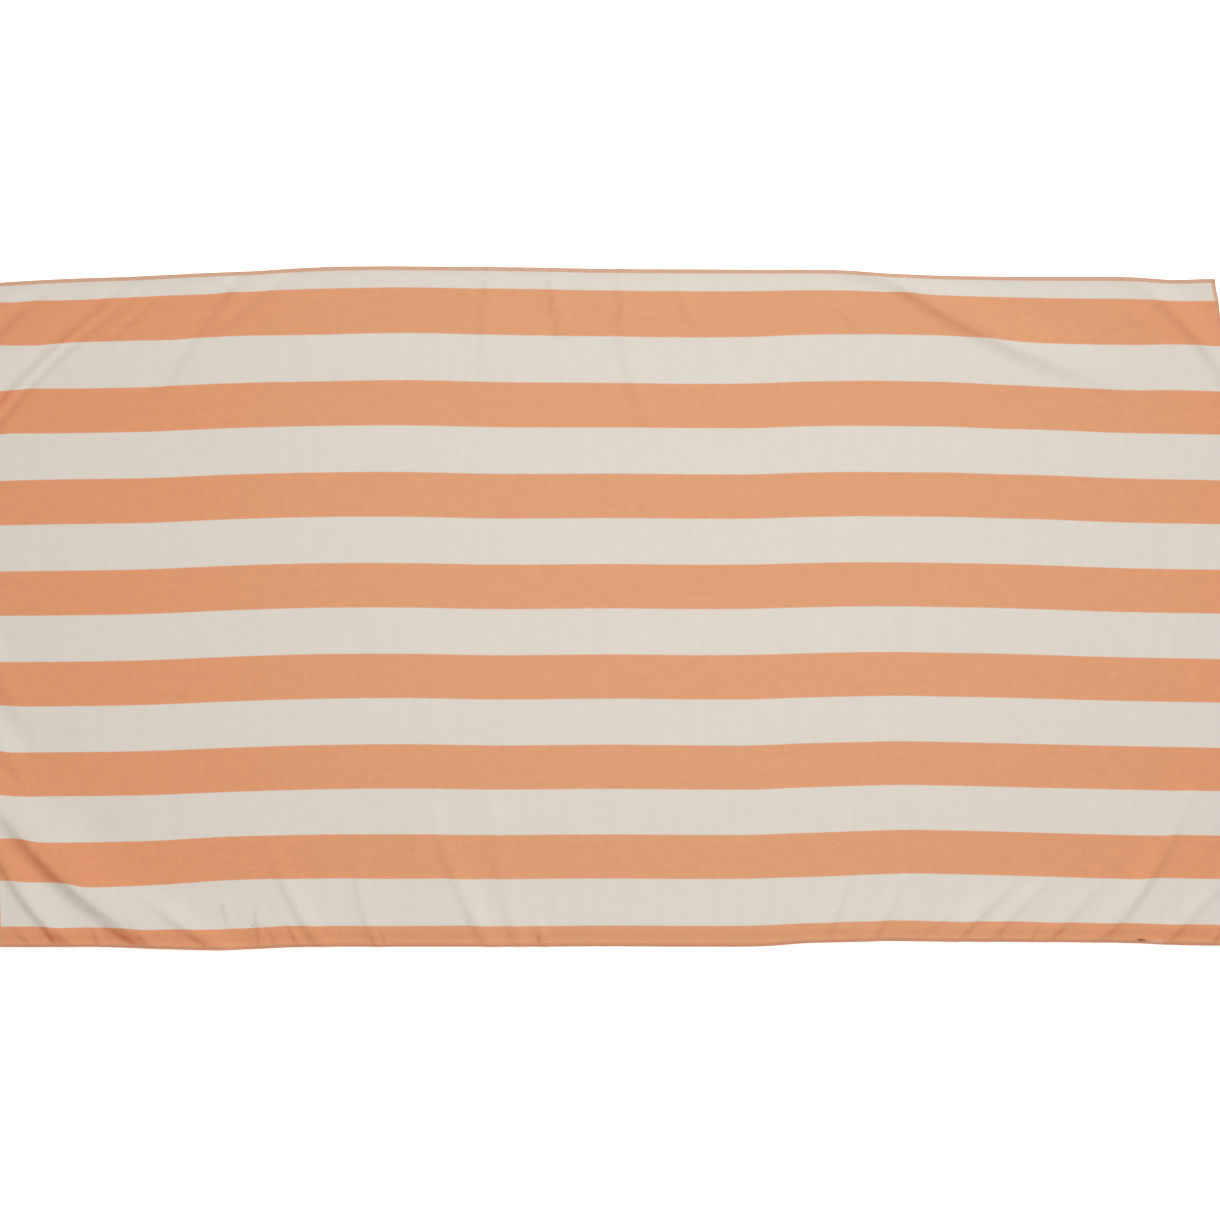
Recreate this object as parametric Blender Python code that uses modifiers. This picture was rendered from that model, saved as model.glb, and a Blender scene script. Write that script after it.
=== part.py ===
"""Beach towel spread out on the ground: one panel of thin striped cloth, overlocked all round.

X runs along the stripes, Y across them, Z up. The origin is on the ground, at the middle of
the outline. The cloth lies flat, apart from the shallow folds that run in from its corners
and its long edges. The tables are in millimetres, and read as the towel is seen from above.
"""
from collections import namedtuple

import bmesh
import bpy
import numpy as np

MM = 0.001

# Cloth
CLOTH_LENGTH = 1645.0
CLOTH_WIDTH = 900.0
CLOTH_THICK = 1.2

# Overlocked edge: the thread wraps the rim in a low rounded bead
BEAD_THICK = 2.2
BEAD_WIDTH = 5.5
RIM_THICK = 1.4
BEAD_LINES = (0.0, 0.7, 1.8, 3.3, 4.6, BEAD_WIDTH)

# Mesh: a fine net, thinned to long faces where the cloth is flat
NET_STEP = 5.0
TRIANGLES = 7600
LEVEL_WITHIN = 0.06

# Colour and finish of the orange yarn
YARN_ORANGE = (0.73, 0.36, 0.18, 1.0)
YARN_ROUGHNESS = 0.85

# Outline. The long edges wave a little, and the short ones bulge.
LongEdges = namedtuple("LongEdges", "x top bottom")
LONG_EDGES = (
    LongEdges(-840, 427, -452),
    LongEdges(-680, 435, -452),
    LongEdges(-545, 441, -456),
    LongEdges(-410, 447, -454),
    LongEdges(-280, 451, -452),
    LongEdges(-140, 449, -451),
    LongEdges(0, 447, -451),
    LongEdges(120, 447, -451),
    LongEdges(250, 446, -448),
    LongEdges(380, 442, -446),
    LongEdges(515, 436, -445),
    LongEdges(650, 435, -447),
    LongEdges(840, 433, -450),
)
ShortEdges = namedtuple("ShortEdges", "y left right")
SHORT_EDGES = (
    ShortEdges(-470, -814, 817),
    ShortEdges(-300, -820, 823),
    ShortEdges(-100, -824, 825),
    ShortEdges(100, -824, 825),
    ShortEdges(260, -822, 821),
    ShortEdges(370, -820, 810),
    ShortEdges(470, -817, 798),
)

# Folds. Each is a low ridge whose crest runs from (x0, y0) to (x1, y1). Walking that way, the
# steep side is on the right and "steep" wide, and the gentle side is on the left. The crest
# bows to the right by "bow". Its height goes from h0 by h1, halfway, to h2, and the ridge
# closes within END_RUN past its ends. A fold that runs off the cloth ends outside its edge.
END_RUN = 16.0
Fold = namedtuple("Fold", "x0 y0 x1 y1 bow steep gentle h0 h1 h2")
FOLDS = (
    # near left corner: two strong ones sweep from the short edge to the long one
    Fold(-830, -222, -591, -488, 20, 15, 46, 4.0, 6.0, 5.0),
    Fold(-828, -310, -684, -482, 10, 14, 34, 4.0, 4.5, 4.0),
    Fold(-829, -52, -763, -170, 6, 13, 34, 2.8, 1.4, 0.0),
    Fold(-829, -158, -776, -237, 1, 12, 30, 2.2, 1.8, 0.0),
    Fold(-619, -386, -500, -474, 0, 12, 32, 0.6, 2.0, 1.8),
    Fold(-455, -316, -369, -474, 9, 12, 30, 0.0, 2.0, 2.2),
    Fold(-337, -311, -305, -466, 9, 12, 28, 0.0, 1.5, 1.2),
    # near long edge, middle
    Fold(-233, -276, -148, -473, 8, 12, 34, 0.0, 2.0, 2.6),
    Fold(-152, -277, -115, -468, 9, 10, 28, 0.0, 1.2, 2.0),
    Fold(-96, -417, -83, -464, 1, 8, 18, 0.0, 0.9, 1.2),
    # near long edge, towards the right
    Fold(618, -471, 764, -255, 18, 12, 36, 2.4, 2.4, 0.0),
    Fold(701, -474, 826, -354, 1, 12, 30, 2.0, 2.0, 1.8),
    Fold(545, -472, 668, -337, 11, 12, 32, 1.8, 2.0, 0.0),
    Fold(431, -477, 545, -360, -6, 12, 32, 2.0, 1.8, 0.0),
    Fold(476, -468, 579, -365, -2, 10, 22, 1.3, 1.0, 0.0),
    Fold(330, -468, 387, -365, 2, 10, 26, 1.5, 1.3, 0.0),
    Fold(273, -467, 316, -356, 2, 10, 26, 1.3, 1.1, 0.0),
    # far left corner
    Fold(-837, 328, -792, 393, 0, 12, 30, 2.5, 2.4, 0.0),
    Fold(-845, 244, -689, 398, -7, 12, 36, 2.6, 2.4, 0.0),
    Fold(-838, 219, -644, 401, -14, 12, 18, 2.2, 2.4, 0.0),
    Fold(-656, 365, -614, 405, 0, 10, 20, 0.0, 0.9, 0.0),
    Fold(-599, 294, -523, 407, -3, 14, 34, 0.0, 1.7, 0.8),
    Fold(-515, 374, -403, 460, -2, 10, 20, 0.8, 1.1, 0.8),
    # far long edge, middle
    Fold(-162, 455, -176, 273, -4, 12, 28, 0.6, 1.0, 0.0),
    Fold(-81, 450, -67, 364, 3, 10, 24, 0.6, 1.1, 0.0),
    Fold(13, 450, 44, 251, 10, 12, 28, 0.6, 1.0, 0.0),
    Fold(92, 422, 118, 365, 2, 10, 24, 0.0, 0.9, 0.0),
    Fold(298, 410, 330, 370, 2, 10, 22, 0.0, 0.8, 0.0),
    # far right corner
    Fold(384, 428, 667, 295, 9, 16, 44, 0.8, 2.2, 0.8),
    Fold(732, 408, 819, 295, -8, 12, 32, 1.0, 1.6, 1.2),
    Fold(689, 392, 713, 367, 0, 10, 22, 0.0, 0.8, 0.0),
)


def clear_scene():
    for thing in list(bpy.data.objects):
        bpy.data.objects.remove(thing, do_unlink=True)


def ease(share):
    """Runs from 0 to 1 with a level start and end."""
    share = np.clip(share, 0.0, 1.0)
    return share * share * (3.0 - 2.0 * share)


def through(stations, values, places):
    """Reads, at each place, the smooth curve that passes through the stations' values."""
    stations = np.array(stations, dtype=float)
    values = np.array(values, dtype=float)
    slopes = np.gradient(values, stations)
    index = np.clip(np.searchsorted(stations, places) - 1, 0, len(stations) - 2)
    run = stations[index + 1] - stations[index]
    share = np.clip((places - stations[index]) / run, 0.0, 1.0)
    start = values[index] * (1.0 - ease(share)) + values[index + 1] * ease(share)
    lead_out = slopes[index] * run * share * (1.0 - share) ** 2
    lead_in = slopes[index + 1] * run * share ** 2 * (share - 1.0)
    return start + lead_out + lead_in


def net_lines(span):
    """Places of the net's lines across a span: close together in the beads, even between."""
    inner = span / 2 - BEAD_WIDTH
    even = np.linspace(-inner, inner, int(round(2 * inner / NET_STEP)) + 1)
    bead = span / 2 - np.array(BEAD_LINES[:-1])
    return np.concatenate([-bead, even, bead[::-1]])


def lay_out(along, across):
    """Takes places on the cloth to where they lie in plan."""
    left = through([row.y for row in SHORT_EDGES], [row.left for row in SHORT_EDGES], across)
    right = through([row.y for row in SHORT_EDGES], [row.right for row in SHORT_EDGES], across)
    x = left + (along / CLOTH_LENGTH + 0.5) * (right - left)
    top = through([row.x for row in LONG_EDGES], [row.top for row in LONG_EDGES], x)
    bottom = through([row.x for row in LONG_EDGES], [row.bottom for row in LONG_EDGES], x)
    y = bottom + (across / CLOTH_WIDTH + 0.5) * (top - bottom)
    return x, y


def crest_height(fold, share, past_end):
    """Height along the crest, easing to nothing past both its ends."""
    rising = fold.h0 + (fold.h1 - fold.h0) * ease(2.0 * share)
    falling = fold.h1 + (fold.h2 - fold.h1) * ease(2.0 * share - 1.0)
    return np.where(share < 0.5, rising, falling) * ease(1.0 - past_end / END_RUN)


def fold_height(fold, x, y):
    """Height of one fold over each place, which is exactly zero beside it."""
    run = np.array([fold.x1 - fold.x0, fold.y1 - fold.y0], dtype=float)
    length = np.hypot(*run)
    ahead = run / length
    walked = (x - fold.x0) * ahead[0] + (y - fold.y0) * ahead[1]
    share = np.clip(walked / length, 0.0, 1.0)
    crest = crest_height(fold, share, np.abs(walked - share * length))
    to_right = (x - fold.x0) * ahead[1] - (y - fold.y0) * ahead[0]
    to_right = to_right - 4.0 * fold.bow * share * (1.0 - share)
    steep_side = ease(1.0 - to_right / fold.steep)
    off_crest = np.clip(-to_right / fold.gentle, 0.0, 1.0)
    gentle_side = (1.0 - off_crest) ** 3 * (1.0 + 3.0 * off_crest)
    return crest * np.where(to_right > 0.0, steep_side, gentle_side)


def relief(x, y):
    return sum(fold_height(fold, x, y) for fold in FOLDS)


def thickness(along, across):
    """Cloth thickness, swelling to the rounded bead near the rim."""
    from_rim = np.minimum(CLOTH_LENGTH / 2 - np.abs(along), CLOTH_WIDTH / 2 - np.abs(across))
    share = np.clip(from_rim / BEAD_WIDTH, 0.0, 1.0)
    low = RIM_THICK + (CLOTH_THICK - RIM_THICK) * share
    return low + (BEAD_THICK - low) * np.sqrt(4.0 * share * (1.0 - share))


def yarn_material():
    material = bpy.data.materials.new("towel_cloth")
    material.use_nodes = True
    shader = material.node_tree.nodes["Principled BSDF"]
    shader.inputs["Base Color"].default_value = YARN_ORANGE
    shader.inputs["Roughness"].default_value = YARN_ROUGHNESS
    shader.inputs["Metallic"].default_value = 0.0
    return material


def make_towel(collection):
    lines_along = net_lines(CLOTH_LENGTH)
    lines_across = net_lines(CLOTH_WIDTH)
    net = bmesh.new()
    bmesh.ops.create_grid(
        net, x_segments=len(lines_along) - 1, y_segments=len(lines_across) - 1, size=1.0
    )
    unit = np.array([vertex.co[:2] for vertex in net.verts])
    along = np.interp(unit[:, 0], np.linspace(-1.0, 1.0, len(lines_along)), lines_along)
    across = np.interp(unit[:, 1], np.linspace(-1.0, 1.0, len(lines_across)), lines_across)
    x, y = lay_out(along, across)
    z = relief(x, y)
    x_middle = (x.min() + x.max()) / 2
    y_middle = (y.min() + y.max()) / 2
    for vertex, place in zip(net.verts, zip(x - x_middle, y - y_middle, z)):
        vertex.co = [MM * value for value in place]
    mesh = bpy.data.meshes.new("towel_cloth")
    net.to_mesh(mesh)
    net.free()
    mesh.materials.append(yarn_material())

    towel = bpy.data.objects.new("towel_cloth", mesh)
    collection.objects.link(towel)
    swell = towel.vertex_groups.new(name="thickness")
    for index, share in enumerate(thickness(along, across) / BEAD_THICK):
        swell.add([index], float(share), "REPLACE")

    # The laid net is the underside, so the flat cloth rests on the ground all over
    solidify = towel.modifiers.new("cloth_thickness", "SOLIDIFY")
    solidify.thickness = BEAD_THICK * MM
    solidify.offset = 1.0
    solidify.vertex_group = swell.name
    decimate = towel.modifiers.new("long_flat_faces", "DECIMATE")
    decimate.ratio = TRIANGLES / (4 * len(mesh.polygons))
    decimate.use_collapse_triangulate = True
    return towel


def level_flats(towel):
    """Keeps the thinned mesh, with the two faces of the flat cloth made truly level."""
    depsgraph = bpy.context.evaluated_depsgraph_get()
    mesh = bpy.data.meshes.new_from_object(towel.evaluated_get(depsgraph))
    towel.modifiers.clear()
    towel.data = mesh
    for vertex in mesh.vertices:
        if vertex.co.z < LEVEL_WITHIN * MM:
            vertex.co.z = 0.0
        elif abs(vertex.co.z - CLOTH_THICK * MM) < LEVEL_WITHIN * MM:
            vertex.co.z = CLOTH_THICK * MM


def main():
    clear_scene()
    collection = bpy.data.collections.new("beach_towel")
    bpy.context.scene.collection.children.link(collection)
    towel = make_towel(collection)
    level_flats(towel)


main()
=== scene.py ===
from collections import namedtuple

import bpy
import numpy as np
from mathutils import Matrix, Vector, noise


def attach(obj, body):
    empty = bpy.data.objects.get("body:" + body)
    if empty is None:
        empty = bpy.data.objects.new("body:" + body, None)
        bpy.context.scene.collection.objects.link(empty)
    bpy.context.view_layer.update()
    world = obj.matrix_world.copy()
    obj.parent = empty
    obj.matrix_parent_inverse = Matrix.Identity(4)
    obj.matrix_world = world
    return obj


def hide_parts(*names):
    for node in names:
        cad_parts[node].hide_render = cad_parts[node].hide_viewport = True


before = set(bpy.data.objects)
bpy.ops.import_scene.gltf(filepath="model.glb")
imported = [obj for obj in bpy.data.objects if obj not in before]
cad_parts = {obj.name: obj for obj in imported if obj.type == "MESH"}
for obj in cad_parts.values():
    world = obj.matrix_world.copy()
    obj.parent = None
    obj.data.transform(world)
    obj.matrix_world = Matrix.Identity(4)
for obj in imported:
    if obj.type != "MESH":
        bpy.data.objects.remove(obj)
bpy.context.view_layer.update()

# Striped beach towel spread out on the ground, seen from straight above.
#
# The cloth is one fine sheet that replaces the CAD cloth, and the overlock stitch is real
# thread along its four sides. Lengths are in millimetres unless a comment says otherwise.
# x and y are places in plan, as in the CAD source; "along" and "across" are places on the
# cloth before it was laid out.

MM = 0.001
BODY = "root"
NODE = "towel_cloth"

# Cloth. Its rim is rounded above and below, and its edge stitch is SEAM_DEPTH deep.
CLOTH_LENGTH = 1645.0
CLOTH_WIDTH = 900.0
CLOTH_THICK = 1.2
RIM_ROUND = 0.3
SEAM_DEPTH = 5.0

# Outline. The long edges wave a little, and the short ones bulge.
LongEdges = namedtuple("LongEdges", "x top bottom")
LONG_EDGES = (
    LongEdges(-840, 428.0, -453.2),
    LongEdges(-750, 433.5, -453.2),
    LongEdges(-690, 436.0, -452.8),
    LongEdges(-640, 437.5, -454.3),
    LongEdges(-590, 440.0, -455.8),
    LongEdges(-540, 442.5, -457.2),
    LongEdges(-485, 444.5, -456.2),
    LongEdges(-430, 448.0, -453.7),
    LongEdges(-380, 450.5, -452.7),
    LongEdges(-320, 451.5, -452.7),
    LongEdges(-220, 451.0, -452.7),
    LongEdges(-110, 450.0, -452.7),
    LongEdges(0, 448.0, -452.2),
    LongEdges(110, 447.5, -452.7),
    LongEdges(210, 447.0, -451.7),
    LongEdges(265, 447.0, -447.7),
    LongEdges(310, 446.0, -446.7),
    LongEdges(365, 442.0, -445.2),
    LongEdges(420, 439.5, -445.7),
    LongEdges(500, 438.0, -446.2),
    LongEdges(600, 437.5, -446.7),
    LongEdges(700, 436.5, -448.2),
    LongEdges(745, 433.5, -450.2),
    LongEdges(790, 434.5, -451.2),
    LongEdges(840, 435.0, -451.2),
)
ShortEdges = namedtuple("ShortEdges", "y left right")
SHORT_EDGES = (
    ShortEdges(-470, -814, 817.0),
    ShortEdges(-300, -820, 823.0),
    ShortEdges(-100, -824, 825.0),
    ShortEdges(100, -824, 825.0),
    ShortEdges(260, -822, 822.0),
    ShortEdges(370, -820, 814.5),
    ShortEdges(400, -819, 810.0),
    ShortEdges(425, -818, 807.0),
    ShortEdges(440, -818, 804.0),
    ShortEdges(470, -817, 803.5),
)

# How the stripes wander between the long edges: y of five lines along the cloth, which are
# at these places across it
INNER_LINES_ACROSS = (-405.0, -225.0, 0.0, 225.0, 405.0)
InnerLines = namedtuple("InnerLines", "x near lower middle upper far")
INNER_LINES = (
    InnerLines(-840, -407.0, -234.5, -14.0, 209.0, 386.0),
    InnerLines(-735, -410.5, -237.0, -13.5, 212.0, 389.5),
    InnerLines(-620, -412.5, -236.0, -11.5, 214.0, 394.0),
    InnerLines(-500, -408.5, -231.5, -6.5, 219.0, 399.5),
    InnerLines(-400, -406.0, -228.5, -3.5, 221.5, 403.0),
    InnerLines(-280, -406.5, -227.0, -3.0, 222.5, 405.5),
    InnerLines(-150, -406.5, -228.5, -5.0, 220.0, 403.5),
    InnerLines(0, -406.0, -227.5, -4.0, 220.0, 401.0),
    InnerLines(130, -406.5, -228.5, -5.0, 219.0, 400.0),
    InnerLines(190, -406.0, -228.5, -4.5, 219.0, 400.5),
    InnerLines(250, -403.5, -226.0, -3.0, 221.0, 402.0),
    InnerLines(320, -401.0, -224.0, -1.5, 222.0, 402.0),
    InnerLines(385, -399.0, -222.5, -1.5, 221.5, 400.0),
    InnerLines(450, -399.5, -223.5, -2.5, 221.0, 397.5),
    InnerLines(515, -400.5, -225.0, -3.5, 218.5, 394.5),
    InnerLines(580, -402.0, -226.5, -5.5, 217.0, 391.5),
    InnerLines(650, -403.5, -228.0, -8.0, 214.0, 390.0),
    InnerLines(840, -406.0, -231.5, -11.5, 210.0, 387.0),
)

# Folds. Each is a low ridge whose crest runs from (x0, y0) to (x1, y1). Walking that way, the
# steep side is on the right and "steep" wide, and the gentle side is on the left. The crest
# bows to the right by "bow". Its height goes from h0 by h1, halfway, to h2, and the ridge
# closes within END_RUN past its ends. A fold that runs off the cloth ends outside its edge.
END_RUN = 16.0

# The steep side: how far its top lies past the crest and how round it is, as shares of "steep"
CREST_SHIFT = 0.15
CREST_ROUND = 0.2
Fold = namedtuple("Fold", "x0 y0 x1 y1 bow steep gentle h0 h1 h2")
FOLDS = (
    # near left corner: two strong ones sweep from the short edge to the long one
    Fold(-840, -222, -552, -474, 28, 24, 90, 5.8, 7.2, 1.6),
    Fold(-826, -295, -690, -472, 18, 15, 46, 4.4, 4.6, 1.6),
    Fold(-829, -52, -763, -170, 5, 13, 34, 4.6, 2.4, 0.4),
    Fold(-829, -158, -774, -237, 1, 13, 30, 4.0, 3.2, 0.6),
    Fold(-637, -373, -490, -474, 3, 13, 32, 0.2, 2.0, 4.6),
    Fold(-457, -310, -366, -474, 9, 12, 34, 0.6, 2.4, 2.2),
    Fold(-337, -311, -305, -466, 9, 12, 28, 0.6, 2.2, 1.4),
    # near long edge, middle
    Fold(-233, -276, -148, -473, 9, 12, 34, 0.8, 2.5, 3.0),
    Fold(-152, -277, -115, -468, 10, 10, 28, 1.0, 2.0, 2.0),
    Fold(-96, -417, -83, -464, 1, 8, 18, 0.4, 1.9, 1.8),
    # near long edge, towards the right
    Fold(618, -471, 764, -255, 18, 15, 38, 0.8, 3.7, 1.6),
    Fold(703, -474, 826, -354, 1, 13, 30, 0.2, 1.7, 1.4),
    Fold(536, -470, 668, -337, 11, 12, 36, 0.9, 1.6, 0.4),
    Fold(431, -477, 545, -360, -6, 12, 34, 2.4, 2.2, 0.6),
    Fold(476, -468, 579, -365, -2, 10, 22, 1.6, 1.6, 0.6),
    Fold(330, -468, 387, -365, 2, 10, 26, 1.6, 2.0, 0.8),
    Fold(273, -467, 316, -356, 2, 10, 26, 0.4, 2.5, 1.2),
    # far left corner
    Fold(-838, 339, -759, 416, -7, 18, 28, 3.6, 3.4, 1.4),
    Fold(-845, 242, -678, 406, -7, 15, 36, 5.0, 4.2, 2.2),
    Fold(-835, 222, -638, 411, -11, 12, 12, 3.8, 2.6, 1.2),
    Fold(-664, 358, -612, 407, 0, 10, 11, 1.4, 2.0, 1.4),
    Fold(-612, 263, -510, 424, -5, 17, 36, 0.8, 3.2, 3.6),
    Fold(-517, 374, -404, 457, -2, 11, 24, 1.2, 1.4, 0.7),
    # far long edge, middle
    Fold(-162, 455, -176, 273, -4, 12, 28, 2.2, 2.2, 0.4),
    Fold(-78, 450, -62, 364, 3, 10, 24, 1.6, 2.5, 1.2),
    Fold(15, 450, 44, 251, 10, 12, 28, 1.8, 2.5, 1.2),
    Fold(92, 422, 118, 365, 2, 11, 28, 0.4, 1.5, 0.6),
    Fold(298, 410, 330, 370, 2, 10, 26, 0.3, 1.3, 0.6),
    # far right corner
    Fold(389, 428, 668, 297, 10, 21, 70, 3.6, 3.6, 1.2),
    Fold(733, 408, 825, 292, -8, 18, 42, 2.6, 3.8, 2.4),
    Fold(689, 392, 713, 367, 0, 10, 22, 0.3, 1.2, 0.4),
    # where four of the far ones run on to the long edge, lower
    Fold(-666, 416, -618, 452, 0, 15, 32, 1.2, 1.0, 0.8),
    Fold(-502, 437, -478, 474, 0, 17, 34, 2.2, 2.0, 1.6),
    Fold(320, 448, 374, 434, 0, 18, 56, 1.0, 1.6, 2.2),
    Fold(676, 443, 720, 418, 0, 15, 38, 0.8, 1.0, 1.4),
    # the near hem, which falls away to the ground
    Fold(-845, -430, 845, -423, 0, 26, 90, 1.5, 1.3, 1.7),
)

# Fainter folds and puckers, too fine for the CAD solid
FINE_FOLDS = (
    # near hem
    Fold(-788, -431, -773, -446, 0, 6, 14, 0.4, 0.7, 0.5),
    Fold(-749, -430, -738, -449, 0, 6, 14, 0.6, 1.0, 0.6),
    Fold(-738, -429, -716, -450, 0, 6, 14, 0.4, 0.7, 0.5),
    Fold(-687, -430, -679, -450, 0, 6, 14, 0.4, 0.8, 0.6),
    Fold(-667, -424, -600, -466, 0, 8, 20, 0.5, 0.9, 0.9),
    Fold(-631, -429, -615, -449, 0, 6, 14, 0.3, 0.6, 0.5),
    Fold(-520, -384, -509, -416, 0, 6, 16, 0.0, 0.6, 0.3),
    Fold(-471, -402, -467, -450, 0, 6, 14, 0.3, 1.1, 1.0),
    Fold(-454, -428, -442, -449, 0, 6, 14, 0.3, 0.6, 0.4),
    Fold(-425, -428, -415, -449, 0, 6, 14, 0.6, 1.1, 0.7),
    Fold(-319, -430, -311, -450, 0, 6, 14, 0.4, 0.8, 0.5),
    Fold(-304, -430, -297, -450, 0, 6, 14, 0.4, 0.7, 0.4),
    Fold(-96, -428, -92, -452, 0, 6, 14, 0.5, 1.0, 0.6),
    Fold(412, -436, 459, -400, 0, 8, 20, 0.2, 0.4, 0.0),
    Fold(507, -449, 518, -430, 0, 6, 14, 0.3, 0.6, 0.3),
    Fold(552, -449, 564, -428, 0, 6, 14, 0.4, 0.9, 0.4),
    Fold(577, -448, 596, -428, 0, 6, 14, 0.3, 0.5, 0.3),
    Fold(640, -447, 661, -430, 0, 6, 14, 0.3, 0.4, 0.2),
    Fold(738, -447, 755, -430, 0, 6, 14, 0.3, 0.4, 0.2),
    Fold(797, -449, 809, -430, 0, 6, 14, 0.4, 0.9, 0.5),
    # far long edge, middle
    Fold(-167, 424, -171, 378, 0, 6, 14, 0.2, 0.1, 0.0),
    Fold(-82, 426, -71, 364, 0, 6, 14, 0.6, 0.2, 0.3),
    Fold(11, 418, 19, 366, 0, 6, 14, 0.1, 0.3, 0.1),
    Fold(90, 420, 101, 384, 0, 6, 14, 0.3, 0.35, 0.1),
)

# Painted shade lies in a line beside the crest of a fine fold, and is full where the crest is this
# high
CREASE_SHADE_FULL = 1.6
CREASE_AT = 2.2
CREASE_WIDE = 2.4

# A fold takes up cloth: share of its height by which each side is drawn in, how far that
# reaches, how wide the change between the sides is, and how far from the edge it fades out
LIFT_OVER_FOLD = 0.5
LIFT_REACH = 55.0
LIFT_CORE = 7.0
LIFT_FADE = 30.0

# Gentle waviness of the upper face, with a finer ripple on it
WAVE_HEIGHT = 0.35
WAVE_LONG = 105.0
WAVE_SHORT = 60.0
WAVE_SEED = 3.1
RIPPLE_FINER_LONG = 2.3
RIPPLE_FINER_SHORT = 1.7
RIPPLE_SHARE = 0.5
RIPPLE_SEED = 8.4

# Net of the sheet: lines close together where it is folded, wider apart where it is flat
Band = namedtuple("Band", "start end step")
ALONG_BANDS = (
    Band(-817.2, -560.0, 2.5),
    Band(-560.0, -280.0, 3.2),
    Band(-280.0, 270.0, 5.5),
    Band(270.0, 620.0, 3.0),
    Band(620.0, 817.2, 2.5),
)
ACROSS_BANDS = (
    Band(-444.7, -415.0, 2.5),
    Band(-415.0, -330.0, 4.0),
    Band(-330.0, -200.0, 6.0),
    Band(-200.0, 180.0, 14.0),
    Band(180.0, 330.0, 6.0),
    Band(330.0, 444.7, 4.2),
)
RIM_LINES = (0.0, 0.8, 2.2)
OUTLINE_SAMPLES = 400

# Maps for baking, as shares of the tile: margins, how far the wall's foot stands outside its
# top, the inset of each cell of thread, and the part of the tile that the loops take
TILE_MARGIN = 0.004
WALL_SPREAD = 1.0035
CELL_INSET = 0.06
LOOPS_PART = 0.7

# Stripes across the cloth, and the border where two of them meet
STRIPE_PITCH = 120.86
STRIPE_WIDTH = 59.3
STRIPE_FIRST = 422.8
BORDER_SOFT = 0.9
BORDER_RAGGED = 1.4

# Overlock stitch. The thread under the edge lifts the cloth by SEAM_LIFT, which fades out over
# SEAM_RISE. Points of a stitch are a share of the way to the next one, a distance in from the
# cloth's edge, and a height over its under face. Widths and heights of thread are halves.
STITCH = 1.65
SEAM_LIFT = 0.46
SEAM_RISE = 4.5
THREAD_WIDE = 0.58
THREAD_HIGH = 0.2
StitchPoint = namedtuple("StitchPoint", "ahead inward height")
LOOPER = (
    StitchPoint(0.00, 5.20, 1.15),
    StitchPoint(0.05, 4.75, 1.76),
    StitchPoint(0.10, 4.10, 1.85),
    StitchPoint(0.34, 0.95, 1.85),
    StitchPoint(0.40, 0.35, 1.78),
    StitchPoint(0.48, -0.15, 1.25),
    StitchPoint(0.56, 0.45, 0.24),
    StitchPoint(0.72, 2.80, 0.22),
    StitchPoint(0.90, 4.85, 0.28),
)
RIM_CHAIN = (
    StitchPoint(0.00, -0.05, 1.90),
    StitchPoint(0.25, -0.30, 1.72),
    StitchPoint(0.50, -0.10, 1.45),
    StitchPoint(0.75, -0.30, 1.68),
)
CHAIN_RADIUS = 0.24
LOOPER_SIDES = 6
CHAIN_SIDES = 6

# Noise patterns: their cycles to a metre along and across the cloth, or, for the thread, to a
# millimetre along it and a turn round it, and their detail and roughness
Grain = namedtuple("Grain", "along across detail rough", defaults=(1.0, 0.5))
RAGGED_GRAIN = Grain(420.0, 260.0, 2.0)
FLECK_GRAIN = Grain(330.0, 1050.0, 2.0, 0.6)
CLOUD_GRAIN = Grain(38.0, 60.0, 3.0, 0.55)
MOTTLE_GRAIN = Grain(85.0, 105.0)
RIB_GRAIN = Grain(75.0, 9.0)
ROW_GRAIN = Grain(16.0, 900.0)
SLUB_GRAIN = Grain(190.0, 320.0)
PILE_GRAIN = Grain(1500.0, 1150.0, 2.0, 0.6)
PATCH_GRAIN = Grain(0.35, 3.0, 2.0)

# Where in the noise, which runs from 0 to 1, the light and dark places start and are full
LIGHT_FLECK = (0.60, 0.78)
DARK_FLECK = (0.40, 0.24)
LIGHT_SLUB = (0.62, 0.76)
DARK_SLUB = (0.38, 0.24)

# How far each pattern moves the brightness of each colour, from its darkest to its lightest
FLECKS_IN_ORANGE = 0.05
CLOUD_IN_ORANGE = 0.07
ROWS_IN_ORANGE = 0.035
MOTTLE_IN_ORANGE = 0.09
DARK_FLECKS_IN_WHITE = 0.02
CLOUD_IN_WHITE = 0.025
MOTTLE_IN_WHITE = 0.035
RIBS_IN_WHITE = 0.05
PATCHES_IN_THREAD = 0.16

# The slubs grow stronger towards the near side: from and to which place across, in metres,
# and from and to which strength
SLUB_GROWTH = (0.0, -0.36, 0.035, 0.10)

# The orange deepens away from a place near the middle: stretch of the cloth, that place on
# the stretched cloth, and the distances between which the colour changes, in metres
PALE_STRETCH = (1.33, 1.1, 0.0)
PALE_MIDDLE = (0.20, 0.13, 0.0)
PALE_REACH = (0.45, 1.2)

# Leaning towards the near side by this much, from none to all, a fold's flank takes painted
# shade, and the thread takes painted light
FOLD_SHADE_LEAN = (-0.10, -0.40)
NEAR_LIGHT_LEAN = (-0.1, -0.6)

# Plies of the thread: how many, their turns to a millimetre, and the width of the groove
# between them, its painted shade, and what a ply adds to it
PLIES = 2.0
PLY_TURNS = 0.8
PLY_GROOVE = 0.22
GROOVE_SHADE = 0.84
PLY_ADDS = 0.10

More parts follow.
